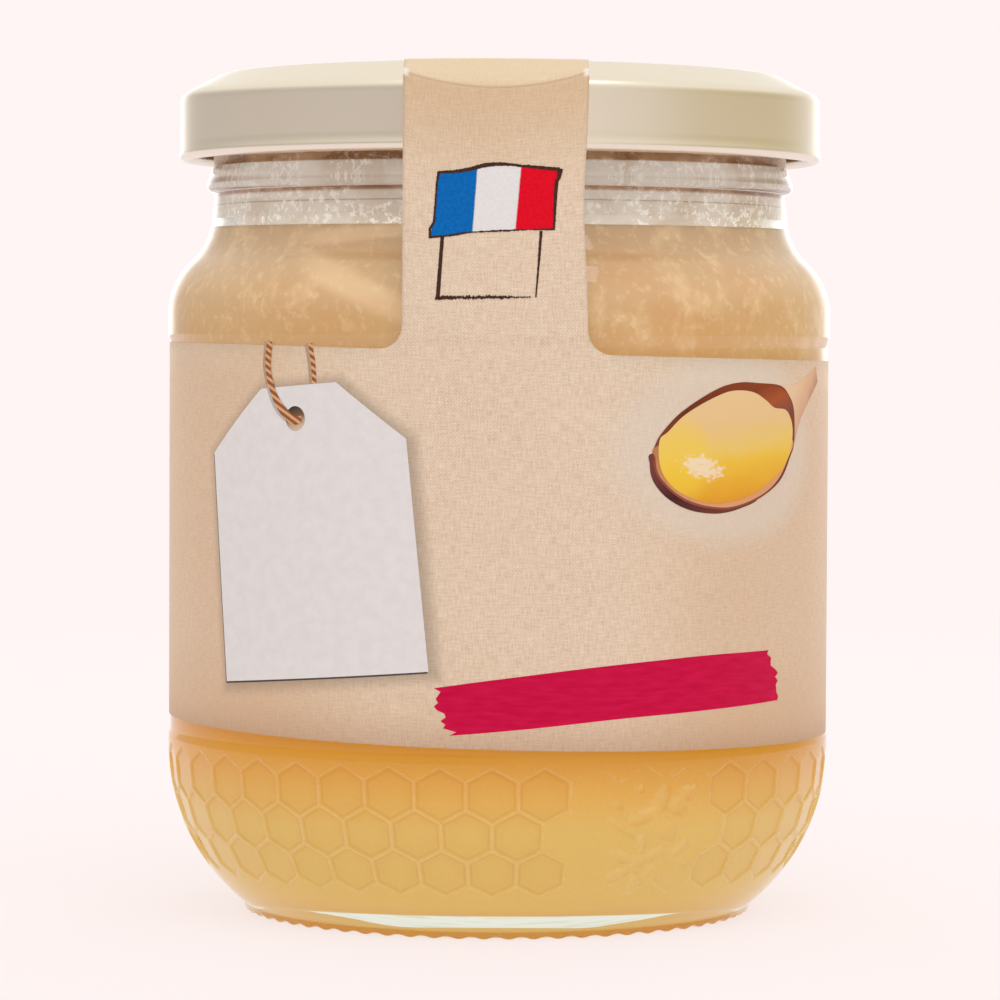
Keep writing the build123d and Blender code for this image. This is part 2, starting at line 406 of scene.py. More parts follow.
def glassLine():
    # the glass's line from above the comb, up over the mouth and down inside to the floor's middle
    body, panel = jar["radius"], jar["radius"] - jar["panelDepth"]
    low, high, mouth = jar["panelLow"], jar["panelHigh"], jar["mouth"]
    beadLow, beadHigh = mouth - jar["beadBelowMouth"][0], mouth - jar["beadBelowMouth"][1]
    finish, bead, bore = jar["finishRadius"], jar["beadRadius"], jar["bore"]
    combTop = jar["heelTop"] + comb["start"] + 0.35
    outer = [
        linePoints((body, combTop), (body, low - 0.6), 2),
        linePoints((body, low - 0.6), (panel, low), 2),
        np.array([(panel, low + 0.5), (panel, high - 0.5)]),
        linePoints((panel, high), (body, high + 0.6), 2),
        linePoints((body, high + 1.0), (body, jar["bodyTop"]), 2),
        shoulderLine(body, jar["neckRadius"], jar["shoulderRound"], jar["throatRound"]),
        arcPoints((jar["neckTopRadius"] + 0.25, beadLow - 0.25), 0.25, 180, 90, 3),
        arcPoints((bead - 0.85, beadLow + 0.85), 0.85, -80, 10, 7),
        linePoints((bead - 0.12, beadLow + 1.4), (finish + 0.12, beadHigh), 2),
        linePoints((finish, beadHigh + 0.2), (finish, mouth - 9.6), 2),
        linePoints((finish, mouth - 9.6), (finish + 1.9, mouth - 7.2), 2),
        arcPoints((finish + 1.2, mouth - 6.3), 0.7, -20, 60, 4),
        linePoints((finish, mouth - 4.6), (finish, mouth - 1.1), 2),
        arcPoints((finish - 1.1, mouth - 1.1), 1.1, 0, 90, 6),
        arcPoints((bore + 1.1, mouth - 1.1), 1.1, 90, 180, 6),
    ]
    return joinLines(*outer, insideLine())


def insideHeel():
    # the inside below the body: upright, round the heel, and over a rounded corner to the middle
    radius, inner = jar["radius"] - jar["wall"], heelRound - jar["wall"]
    floor, corner = jar["floor"], jar["floorRound"]
    lift = jar["heelTop"] - floor - corner           # the corner's middle, below the heel's own
    reach = math.sqrt((inner - corner) ** 2 - lift ** 2)
    turn = math.degrees(math.asin(lift / (inner - corner)))
    middle = (heelMiddle + reach, floor + corner)
    return joinLines(
        linePoints((radius, jar["bodyTop"]), (radius, jar["heelTop"]), 2),
        arcPoints((heelMiddle, jar["heelTop"]), inner, 0, -turn, 10),
        arcPoints(middle, corner, -turn, -90, 13),
        linePoints((middle[0], floor), (0, floor), 3),
    )


def insideLine():
    # the whole inside from the mouth's round down to the middle of the floor
    wall = jar["wall"]
    shoulder = shoulderLine(jar["radius"] - wall, jar["bore"], jar["shoulderRound"] - wall,
                            jar["throatRound"] + wall, 10)[::-1]
    return joinLines(linePoints((jar["bore"], jar["mouth"] - 2), shoulder[0], 2), shoulder, insideHeel())


def footGrid(lastLength):
    # from below the comb down the heel, round the grooved foot and into its hollow
    start = heelSurface(lastLength)[1]
    startTurn = math.degrees(math.asin((jar["heelTop"] - start) / heelRound))
    lowTurn = math.degrees(math.asin((jar["heelTop"] - jar["footHeight"]) / heelRound))
    foot, width, punt = jar["footRadius"], jar["footWidth"], jar["puntDepth"]
    profile = joinLines(
        arcPoints((heelMiddle, jar["heelTop"]), heelRound, -startTurn, -lowTurn, 9),
        linePoints((foot, jar["footHeight"]), (foot, 0.3), 3),
        arcPoints((foot - 0.3, 0.3), 0.3, 0, -90, 4),
        linePoints((foot - 0.3, 0), (foot - width, 0), 8),
        linePoints((foot - width, 0), (foot - width - 7, punt), 3),
        linePoints((foot - width - 7, punt), (0, punt), 3),
    )
    points, faces = turnedGrid(profile, aroundTurns)
    radius = np.hypot(points[:, 0], points[:, 1])
    around = np.arctan2(points[:, 0], -points[:, 1])
    edge = np.clip((radius - foot + jar["grooveReach"]) / 0.4, 0, 1) * np.clip(1 - points[:, 2] / 0.8, 0, 1)
    points[:, 2] += edge * jar["grooveDepth"] * (1 + np.cos(jar["grooves"] * around)) / 2
    return points, faces


def glassMaterial():
    # clear glass, a little uneven at the shoulder; a painted highlight on the comb's crests, with painted shade beside
    # them, and the foot painted in the honey's colour
    nodes = newNodes("clearGlass")
    place = nodes.place()
    height = nodes.parts(place)[2] / mm
    marks = nodes.value(nodes.add("ShaderNodeAttribute", {"attribute_name": "marks"}), "Fac")
    crestHighlight = nodes.maths("MAXIMUM", marks, 0.0)
    beside = nodes.maths("MAXIMUM", 0.0 - marks, 0.0)
    shoulder = nodes.step(height, 73.5, 76.0) * (1 - nodes.step(height, 83.0, 86.0))
    waves = nodes.noise(place, 60.0, 2.0) + nodes.noise(place, 900.0, 3.0) * shoulder * 0.5
    # painted shade beside the crests
    tintWithPaintedShade = nodes.mix(beside * 0.7, (0.99, 1.0, 0.985, 1), colour(236, 206, 164))
    foot = 1 - nodes.step(height, 0.75, 1.1)           # painted: the foot carries the honey's colour, as seen through it
    tintWithPaintedShade = nodes.mix(foot, tintWithPaintedShade, colour(224, 166, 100))
    glass = nodes.surface({"Base Color": tintWithPaintedShade, "Roughness": 0.0, "IOR": 1.5,
                           "Transmission Weight": 1.0, "Normal": nodes.bump(waves, 0.25, 0.08)})
    # painted highlight: a pale diffuse mixed in on the crests
    bright = nodes.add("ShaderNodeBsdfDiffuse", None, {"Color": colour(255, 240, 206)}).outputs[0]
    withPaintedCrests = nodes.add("ShaderNodeMixShader", None, {0: crestHighlight * 0.13, 1: glass, 2: bright}).outputs[0]
    light = nodes.add("ShaderNodeLightPath")
    clear = nodes.add("ShaderNodeBsdfTransparent", None, {"Color": (0.97, 0.98, 0.97, 1)}).outputs[0]
    mixed = nodes.add("ShaderNodeMixShader", None, {0: light.outputs["Is Shadow Ray"], 1: withPaintedCrests, 2: clear})
    return nodes.finish(mixed.outputs[0])


def buildGlass():
    cells, marks = combGrids()
    (topBand, topShading, _), (lowBand, lowShading, lowest) = combBorder(True), combBorder(False)
    body = [turnedGrid(glassLine(), aroundTurns), footGrid(lowest)]
    plain = np.zeros(sum(len(grid[0]) for grid in body))
    piece = makePiece("glassJar", cells + [topBand, lowBand] + body, glassMaterial(),
                      marks=np.concatenate([marks, topShading, lowShading, plain]), weld=2e-3)
    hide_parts("glass_jar")
    print("glass", sum(len(face.vertices) - 2 for face in piece.data.polygons), "triangles")


# ---- honey ----

honey = {
    "reach": 0.06,                 # into the glass, so that no air shows between
    "floorGlow": (21.5, 27.6),     # radii of its floor where a painted glowing ring stands in for the thick clear base seen bright
    "level": honeyHigh[2],
    "meniscus": 0.6,
    "upper": (209, 175, 132),      # crystallised, in pale grains
    "grain": (238, 212, 170),
    "labelShadow": (228, 158, 20),        # painted shadow of the label, just below it
    "lower": (226, 190, 104),
    # painted glow: the honey gives off this share of its own colour everywhere, to look lit through the glass
    "glow": 0.3,
}


def honeyMaterial():
    nodes = newNodes("creamyHoney")
    place = nodes.place()
    x, y, z = nodes.parts(place)
    height = z / mm
    # the darker orange just below the label is painted shadow of the label
    body = nodes.ramp(height / 90, [(0.0, honey["lower"]), (0.15, honey["lower"]), (0.262, honey["labelShadow"]),
                                    (0.74, (218, 174, 110)), (0.84, honey["upper"]), (1.0, (200, 168, 134))])
    clouds = nodes.step(nodes.noise(place, 230.0, 4.0), 0.5, 0.72)
    grains = nodes.step(nodes.noise(place, 1000.0, 2.0), 0.52, 0.72)
    upper = nodes.step(height, 62.0, 74.0)
    crystals = (clouds * 0.5 + grains * 0.35) * upper
    shade = nodes.mix(crystals, body, colour(*honey["grain"]))
    streaks = nodes.step(nodes.noise(nodes.stretched(place, (1.0, 1.0, 2.2)), 45.0, 3.0), 0.4, 0.75)
    shade = nodes.mix(streaks * 0.25 * upper, shade, colour(206, 132, 66))
    leaning = (x / mm + 22.0) * 0.45 + (height - 79.0)     # two pale smears that meet to the left
    smearLow = 1 - nodes.step(abs(leaning), 0.6, 2.4)
    smearHigh = 1 - nodes.step(abs((x / mm + 22.0) * -0.12 + (height - 82.2)), 0.4, 1.5)
    near = nodes.step(x / mm, -25.0, -20.0) * (1 - nodes.step(x / mm, -9.0, -4.0)) * nodes.step(0.0 - y, 0.0, 0.01)
    shade = nodes.mix(nodes.maths("MAXIMUM", smearLow, smearHigh) * near * 0.42, shade, colour(248, 216, 176))
    away = (x * x + y * y) ** 0.5 / mm
    # painted glow: a pale ring on the honey's floor, in three pointed arcs, glows in place of light through the thick
    # clear base; the base colour under it is near black
    low, high = honey["floorGlow"]
    third = nodes.maths("ARCTAN2", x, 0.0 - y) * (1.5 / math.pi) + 0.5      # three pointed arcs, one in front
    turned = abs(nodes.maths("FRACT", third) - 0.5) * 120 + nodes.noise(place, 110.0, 3.0) * 14 - 7
    inner = nodes.step(turned, 24.0, 51.0) * (high - low) + low
    ring = nodes.step(away - inner, -0.25, 0.25) * (1 - nodes.step(away, high - 0.3, high + 0.3))
    ring = ring * (1 - nodes.step(height, jar["floor"] + 0.02, jar["floor"] + 0.3))
    streaked = nodes.step(nodes.noise(nodes.stretched(place, (0.25, 1.0, 1.0)), 700.0, 2.0), 0.5, 0.7)
    pale = nodes.mix(streaked * 0.5, colour(226, 230, 217), colour(202, 196, 172))
    base = nodes.mix(ring, shade, colour(20, 22, 18))
    # painted glow: the ring's pale colour, and elsewhere a share of the honey's own colour, given off as light
    glow = nodes.mix(ring, nodes.mix(1 - honey["glow"], shade, colour(0, 0, 0)), pale)
    surface = nodes.surface({"Base Color": base, "Roughness": 0.5, "Specular IOR Level": 0.1,
                             "Emission Color": glow, "Emission Strength": 1.0,
                             "Normal": nodes.bump(clouds + grains * 0.5, 0.25, 0.12)})
    return nodes.finish(surface)


def buildHoney():
    # the inside's own line moved out into the wall, closed by a level top with a raised edge
    line, level = insideLine(), honey["level"]
    slope = np.gradient(line, axis=0)
    slope /= np.linalg.norm(slope, axis=1, keepdims=True)
    outward = np.stack([-slope[:, 1], slope[:, 0]], 1)
    moved = line + outward * honey["reach"]
    moved[-1, 0] = 0
    rim = (np.interp(-level, -moved[:, 1], moved[:, 0]), level)
    low = level - honey["meniscus"]
    top = np.array([(0, low), (rim[0] - 3, low), (rim[0] - 1.2, low + 0.12), (rim[0] - 0.4, level - 0.15), rim])
    profile = joinLines(top, moved[moved[:, 1] < level])
    piece = makePiece("creamyHoney", [turnedGrid(profile, np.linspace(0, 2 * np.pi, 256, endpoint=False))],
                      honeyMaterial())
    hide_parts("honey")


# ---- film on the glass above the honey ----

film = {"inside": (-0.05, 0.03), "low": -0.3, "high": 2.2}      # from the bore in, and its ends


def buildFilm():
    # a thin skin of dried honey inside the neck: brown at the top, partly painted reflection of the golden lid, white
    # sugar specks lower down, with a painted glow
    nodes = newNodes("sugarFilm")
    place = nodes.place()
    height = nodes.parts(place)[2] / mm
    specks = nodes.step(nodes.noise(place, 1150.0, 3.0, 0.7), 0.5, 0.6)
    specks = specks * nodes.step(nodes.noise(place, 210.0, 3.0), 0.36, 0.56)
    patches = nodes.step(nodes.noise(place, 150.0, 3.0), 0.42, 0.62)
    high = nodes.step(height, 88.3, 88.8) * (1 - nodes.step(height, 89.5, 90.0)) + nodes.step(height, 91.3, 91.8)
    seam = 1 - nodes.step(abs(height - 87.3), 0.03, 0.12)
    mist = nodes.mix(patches * 0.6, colour(228, 220, 211), colour(208, 188, 168))
    # brown of dried honey, and partly painted reflection of the golden lid above
    driedAndLidReflection = nodes.mix(patches, colour(174, 130, 90), colour(134, 88, 48))
    skinColour = nodes.mix(seam * 0.6, nodes.mix(high, mist, driedAndLidReflection), colour(140, 116, 100))
    low = 1 - nodes.step(height, 84.6, 88.5)
    white = specks * (0.45 + low * 0.55) * (1 - high * 0.6)
    skinColour = nodes.mix(white, skinColour, colour(255, 253, 250))
    # painted glow: the skin gives off a third of its own colour, to look lit through the glass
    skin = nodes.surface({"Base Color": skinColour, "Roughness": 0.6, "Specular IOR Level": 0.2,
                          "Emission Color": skinColour, "Emission Strength": 0.32})
    clear = nodes.add("ShaderNodeBsdfTransparent").outputs[0]
    amount = 0.7 + white * 0.25 + high * 0.1
    mixed = nodes.add("ShaderNodeMixShader", None, {0: amount, 1: clear, 2: skin})
    outer, inner = (jar["bore"] - inside for inside in film["inside"])
    low, high = honey["level"] + film["low"], jar["mouth"] - film["high"]
    profile = joinLines(linePoints((outer, low), (outer, high), 20), linePoints((inner, high), (inner, low), 20),
                        [[outer, low]])
    makePiece("sugarFilm", [turnedGrid(profile, np.linspace(0, 2 * np.pi, 200, endpoint=False))],
              nodes.finish(mixed.outputs[0]), weld=2e-3)


# ---- lid ----

lid = {
    "sheet": 0.22,
    "skirt": lidHigh[0] - 0.15,
    "curl": 0.85,
    "rimOuter": 35.0,
    "rimInner": 32.6,
    "recess": 0.7,
    "shoulderDrop": 2.3,
    "edgeRound": 1.0,
}


def lidLine(gap):
    # from the middle of the top out over the rim and the sloping shoulder, down the skirt
    top, skirt = lidHigh[2] + gap, lid["skirt"] + gap
    inner, outer, recess = lid["rimInner"], lid["rimOuter"], lid["recess"]
    shoulder = (skirt - 0.6, top - lid["shoulderDrop"])
    return joinLines(
        linePoints((0, top - recess), (inner - 1.2, top - recess), 12),
        arcPoints((inner - 1.2, top - recess + 0.4), 0.4, -90, -30, 4),
        linePoints((inner - 0.5, top - 0.35), (inner, top - 0.08), 3),
        linePoints((inner + 0.3, top), (outer - 0.6, top), 4),
        linePoints((outer, top - 0.14), shoulder, 8),
        linePoints(shoulder, (skirt - 0.25, shoulder[1] - 0.32), 3),
        linePoints((skirt - 0.08, shoulder[1] - 0.62), (skirt, shoulder[1] - 1.05), 3),
        linePoints((skirt, shoulder[1] - 1.05), (skirt, lidLow[2] + 1.9), 14),
    )


def lidMaterial():
    nodes = newNodes("goldLacquer")
    place = nodes.place()
    fine = nodes.noise(place, 2500.0, 2.0)
    broad = nodes.noise(place, 60.0, 3.0)
    shade = nodes.mix(broad * 0.5, colour(238, 229, 216), colour(230, 219, 201))
    return nodes.finish(nodes.surface({
        "Base Color": shade, "Metallic": 1.0, "Roughness": fine * 0.06 + 0.27,
        "Coat Weight": 0.3, "Coat Roughness": 0.15, "Normal": nodes.bump(fine, 0.08, 0.02)}))


def lugGrid(turn, height):
    # one lug under the lid: a plain block from the glass out to the curl
    inner, outer, spread, rise = jar["finishRadius"] + 0.35, lid["skirt"] - 0.7, math.radians(6.8), 0.75
    radius = np.array([inner, outer, outer, inner] * 2)
    angle = turn + np.array([-spread, -spread, spread, spread] * 2)
    level = height + np.array([-rise] * 4 + [rise] * 4)
    points = np.stack([radius * np.sin(angle), -radius * np.cos(angle), level], 1)
    return points, np.array([(0, 1, 2, 3), (4, 7, 6, 5), (0, 4, 5, 1), (1, 5, 6, 2), (2, 6, 7, 3), (3, 7, 4, 0)])


def buildLid():
    curl = lid["curl"]
    middle = (lidHigh[0] - curl, lidLow[2] + curl)
    curled = joinLines(arcPoints(middle, curl, 20, -90, 10), arcPoints(middle, curl, -90, -235, 12))
    profile = joinLines(lidLine(0), curled, lidLine(-lid["sheet"])[::-1])
    grids = [turnedGrid(profile, np.linspace(0, 2 * np.pi, 288, endpoint=False))]
    grids += [lugGrid(turn, middle[1]) for turn in np.radians([45, 135, 225, 315])]
    piece = makePiece("twistLid", grids, lidMaterial())
    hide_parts("lid")


# ---- label ----

label = {
    "gap": 0.05,
    "paper": 0.12,
    "low": 23.4,
    "high": 69.41,
    "tilt": 0.0244,                # the right side lower, rise over run
    "open": 12.0,                  # between its ends, at the back
    "stripWidth": 21.5,
    "stripShift": -0.45,
    "fillet": 2.7,
    "stripLength": 33.0,           # from the lid's edge over its top
    "foldMiddle": 99.9,            # where the strip bends over the lid, in its middle
    "foldRise": 1.9,               # and how much higher at its sides
    "bow": 0.55,                   # the strip's right side, pulled in below the lid
}
panelRadius = jar["radius"] - jar["panelDepth"] + label["gap"]
lidRadius = lidHigh[0] + label["gap"]
paperPath = joinLines(             # radius and height from the body up to the lid
    linePoints((panelRadius, label["low"] - 2), (panelRadius, jar["panelHigh"]), 30),
    linePoints((jar["radius"] + label["gap"], jar["panelHigh"] + 0.6),
               (jar["radius"] + label["gap"], jar["bodyTop"] + 0.85), 5),
    linePoints((jar["radius"] + label["gap"], jar["bodyTop"] + 1.8), (lidRadius, lidLow[2] + 0.85), 24),
    linePoints((lidRadius, lidLow[2] + 1.2), (lidRadius, lidHigh[2]), 10),
)


def onPaper(turn, height, lift=0.0):
    # a point on the paper by its angle from the front and its height
    radius = np.interp(height, paperPath[:, 1], paperPath[:, 0]) + lift
    return np.stack([radius * np.sin(turn), -radius * np.cos(turn), height + 0 * turn], -1)


def onLabel(across, height, lift):
    # a printed point: millimetres right of the front along the body, and its height
    return onPaper(across / jar["radius"], height, label["paper"] + lift)


def lean(turn):
    # how far the tilted label's edges go up or down round the jar
    return -label["tilt"] * panelRadius * np.sin(turn)


def bandGrid(end, lip, columns):
    # the band round the body, with columns that match the strip's along their shared stretch
    turns = np.concatenate([np.linspace(-end, lip[0], 90)[:-1], lip, np.linspace(lip[-1], end, 90)[1:]])
    share = np.linspace(0, 1, 12)[:, None]
    height = label["low"] + (label["high"] - label["low"]) * share + lean(turns)
    flat = np.stack([turns * panelRadius + 0 * height, height], -1)
    return (onPaper(turns + 0 * height, height).reshape(-1, 3), gridFaces(12, len(turns))), flat.reshape(-1, 2)


def stripGrid(side):
    # up from the band with rounded inner corners, over the lid's edge along a sagging fold, and in
    width, fillet, shift = label["stripWidth"] / 2, label["fillet"], label["stripShift"]
    above = np.concatenate([fillet * (1 - np.cos(np.linspace(0, np.pi / 2, 9))),
                            np.linspace(fillet, label["foldMiddle"] - label["high"], 50)[1:]])[:, None]
    flare = np.where(above < fillet, fillet - np.sqrt(np.clip(fillet ** 2 - (fillet - above) ** 2, 0, None)), 0)
    x = shift + side * (width + flare) - label["bow"] * np.exp(-((above - 16) / 8) ** 2) * np.clip(side, 0, 1)
    rise = above / above[-1]
    fold = label["foldMiddle"] + label["foldRise"] * side ** 2
    base = label["high"] + lean(np.arcsin(x / panelRadius)) * (1 - rise)
    height = base + (fold - label["high"]) * rise
    radius = np.interp(height, paperPath[:, 1], paperPath[:, 0])
    upright = np.stack([x, -np.sqrt(radius ** 2 - x ** 2), height], -1)
    top = lidLine(label["gap"] + 0.05)
    corner = top[(top[:, 0] >= lid["rimOuter"] - 0.01) & (top[:, 1] > label["foldMiddle"])][::-1]
    places = np.linspace(0, 1, 15)[1:]
    lengths = np.concatenate([[0], np.cumsum(np.linalg.norm(np.diff(corner, axis=0), axis=1))])
    close = np.stack([np.interp(places, lengths / lengths[-1], corner[:, k]) for k in (0, 1)], -1)[:, None]
    stiff = np.stack([lidRadius + (corner[-1, 0] - lidRadius) * places,
                      (label["foldMiddle"] + label["foldRise"]) * (1 - places) + corner[-1, 1] * places], -1)
    share = (side ** 2)[None, :, None]
    bent = close * (1 - share) + stiff[:, None] * share        # the middle follows the lid, the sides stand off
    x1 = upright[-1, :, 0]
    slope = np.stack([x1 + 0 * bent[..., 0], -np.sqrt(bent[..., 0] ** 2 - x1 ** 2), bent[..., 1]], -1)
    y = slope[-1, :, 1] + (label["stripLength"] - lidHigh[0] - slope[-1, :, 1]) * np.linspace(0, 1, 24)[1:, None]
    flatTop = top[(top[:, 0] <= lid["rimOuter"] + 0.01) & (top[:, 1] > lidHigh[2] - 1)]
    over = np.stack([x1 + 0 * y, y, np.interp(np.hypot(x1, y), flatTop[:, 0], flatTop[:, 1])], -1)
    points = np.concatenate([upright, slope, over])
    run = np.linalg.norm(np.diff(points[:, len(side) // 2], axis=0), axis=1)
    run = label["high"] + np.concatenate([[0], np.cumsum(run)])
    flat = np.stack([points[..., 0], run[:, None] + 0 * points[..., 0]], -1)
    return (points.reshape(-1, 3), gridFaces(len(points), len(side))), flat.reshape(-1, 2)


def outsideOf(corners, across, height):
    # how far a point lies outside a convex outline: the furthest of its sides' distances
    far = None
    for (x0, z0), (x1, z1) in zip(corners, corners[1:] + corners[:1]):
        length = math.hypot(x1 - x0, z1 - z0)
        nx, nz = (z1 - z0) / length, (x0 - x1) / length
        side = across * nx + (height * nz - (x0 * nx + z0 * nz))
        far = side if far is None else far.math("MAXIMUM", side)
    return far


tagOutline = [(-37.19, 30.0), (-8.04, 32.39), (-10.83, 59.36), (-19.73, 65.82), (-30.86, 64.95), (-40.05, 57.18)]


def labelMaterial():
    nodes = newNodes("linenPaper")
    flat = nodes.flat()
    across, height, _ = nodes.parts(flat)
    across, height = across * 100, height * 100
    weft = nodes.noise(nodes.stretched(flat, (70.0, 560.0, 1.0)), 1.0, 2.0)
    warp = nodes.noise(nodes.stretched(flat, (560.0, 70.0, 1.0)), 1.0, 2.0)
    over = nodes.maths("SINE", across * (2 * math.pi / 0.46) + warp * 3.0)
    under = nodes.maths("SINE", height * (2 * math.pi / 0.46) + weft * 3.0)
    weave = weft + warp - 1.0 + over * under * 0.12
    patches = nodes.noise(flat, 9.0, 3.0) - 0.5
    tone = weave * 0.9 + patches * 0.2 + 0.5
    paper = nodes.ramp(tone, [(0.1, (206, 180, 152)), (0.5, (226, 203, 178)), (0.9, (240, 221, 200))])
    tan = nodes.step(height, 86.0, 100.0)
    paper = nodes.mix(tan * 0.5, paper, colour(208, 172, 122))
    # painted shade toward the sides, where the body turns from the light; the paper is also darker near its lower edge
    sideShadeAndLowTone = nodes.step(abs(across), 10.0, 34.0) * 0.4 + (1 - nodes.step(height, 24.0, 36.0)) * 0.3
    paper = nodes.mix(sideShadeAndLowTone, paper, colour(208, 168, 128))
    x, _, z = nodes.parts(nodes.place())
    aside = (x / mm - label["stripShift"]) / (label["stripWidth"] / 2)
    crease = z / mm - (aside * aside * label["foldRise"] + label["foldMiddle"])
    # painted light: the paper above the fold is lighter, as it faces up
    paper = nodes.mix(nodes.step(crease, -0.1, 0.4) * 0.35, paper, colour(250, 230, 194))
    # painted shade: a thin dark line along the crease
    paper = nodes.mix((1 - nodes.step(abs(crease), 0.02, 0.2)) * 0.22, paper, colour(150, 120, 88))
    # painted highlight: white glints at the strip's sides near the fold
    cornerGlint = nodes.step(abs(aside), 0.92, 0.98) * (1 - nodes.step(abs(crease - 0.1), 0.2, 0.7))
    paper = nodes.mix(cornerGlint * 0.85, paper, colour(252, 248, 240))
    shade = 1 - nodes.step(outsideOf(tagOutline, across - 0.5, height + 0.25), -0.3, 1.9)
    paper = nodes.mix(shade * 0.5, paper, colour(128, 108, 92))
    spoon = ((across - 30.0) / 15.5) ** 2 + ((height - 58.0) / 10.5) ** 2
    halo = 1 - nodes.step(spoon, 0.7, 1.5)
    paper = nodes.mix(halo * 0.45, paper, colour(222, 214, 202))
    surface = nodes.surface({
        "Base Color": paper, "Roughness": 0.55 - weave * 0.1, "Specular IOR Level": 0.25,
        "Coat Weight": 0.15, "Coat Roughness": 0.3, "Normal": nodes.bump(weave, 0.2, 0.03)})
    return nodes.finish(surface)


def paperEdgeMaterial():
    nodes = newNodes("paperCore")
    tone = nodes.noise(nodes.place(), 900.0, 3.0)
    shade = nodes.mix(tone * 0.5, colour(248, 243, 234), colour(230, 217, 200))
    return nodes.finish(nodes.surface({"Base Color": shade, "Roughness": 0.8}))


def buildLabel():
    # the band round the body and the strip over the lid, welded along the band's top edge
    side = np.linspace(-1, 1, 45)
    lip = label["stripShift"] + side * (label["stripWidth"] / 2 + label["fillet"])
    end = math.pi - math.asin(label["open"] / 2 / panelRadius)
    band, bandFlat = bandGrid(end, np.arcsin(lip / panelRadius), 90)
    strip, stripFlat = stripGrid(side)
    piece = makePiece("paperLabel", [band, strip], labelMaterial(), uv=np.concatenate([bandFlat, stripFlat]),
                      weld=0.03, close=False)
    piece.data.materials.append(paperEdgeMaterial())
    paper = piece.modifiers.new("paper", "SOLIDIFY")
    paper.thickness = label["paper"] * mm
    paper.offset = 1.0
    paper.material_offset_rim = 1
    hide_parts("label")


# ---- print on the label ----

def curveThrough(points, count):
    # a smooth curve through a few points, by cubic pieces between them
    points = np.array(points, float)
    padded = np.vstack([2 * points[0] - points[1], points, 2 * points[-1] - points[-2]])
    places = np.linspace(0, len(points) - 1 - 1e-9, count)
    index = places.astype(int)
    t = (places - index)[:, None]
    a, b, c, d = (padded[index + k] for k in range(4))
    return 0.5 * (2 * b + (c - a) * t + (2 * a - 5 * b + 4 * c - d) * t ** 2
                  + (3 * b - a - 3 * c + d) * t ** 3)


def printedPatch(name, lower, upper, material, lift=0.02, columns=40, rows=16, smooth=True):
    # a field of colour between two curves: (1 - v) * lower(u) + v * upper(u)
    follow = curveThrough if smooth else cornered
    low, high = follow(lower, columns), follow(upper, columns)
    v = np.linspace(0, 1, rows)[:, None, None]
    flat = low * (1 - v) + high * v
    points = onLabel(flat[..., 0], flat[..., 1], lift)
    return makePiece(name, [(points.reshape(-1, 3), gridFaces(rows, columns))], material,
                     uv=flat.reshape(-1, 2), close=False)


def cornered(points, count):
    # a line with corners through a few points, evenly spaced by their order
    points = np.array(points, float)
    places = np.linspace(0, len(points) - 1, count)
    return np.stack([np.interp(places, np.arange(len(points)), points[:, k]) for k in (0, 1)], 1)


def printedLine(name, points, widths, material, lift=0.05, rough=0.0, count=120, smooth=True):
    # a brush line: a curve with a width on both sides, its edges a little uneven
    line = (curveThrough if smooth else cornered)(points, count)
    along = np.gradient(line, axis=0)
    along /= np.maximum(np.linalg.norm(along, axis=1, keepdims=True), 1e-9)
    aside = np.stack([-along[:, 1], along[:, 0]], 1)
    width = np.interp(np.linspace(0, 1, count), np.linspace(0, 1, len(widths)), widths) / 2
    waver = np.random.default_rng(len(name)).normal(0, rough, (2, count))
    sides = [line + aside * ((width + waver[0]) * side)[:, None] for side in (1, 0.3, -0.3)]
    sides.append(line - aside * (width + waver[1])[:, None])
    flat = np.stack(sides)
    place = onLabel(flat[..., 0], flat[..., 1], lift)
    return makePiece(name, [(place.reshape(-1, 3), gridFaces(4, count))], material,
                     uv=flat.reshape(-1, 2), close=False)


def inkMaterial(name, shades, grain=260.0, gloss=0.6, stretch=(1.0, 1.0, 1.0)):
    # printing ink: two close shades in a fine mottle, on the paper's own weave
    nodes = newNodes(name)
    flat = nodes.flat()
    mottle = nodes.noise(nodes.stretched(flat, stretch), grain, 3.0)
    weave = nodes.noise(nodes.stretched(flat, (330.0, 40.0, 1.0)), 1.0, 2.0)
    shade = nodes.mix(nodes.step(mottle, 0.3, 0.7), colour(*shades[0]), colour(*shades[1]))
    return nodes.finish(nodes.surface({"Base Color": shade, "Roughness": gloss + weave * 0.08,
                                       "Specular IOR Level": 0.1,
                                       "Normal": nodes.bump(weave, 0.15, 0.03)}))


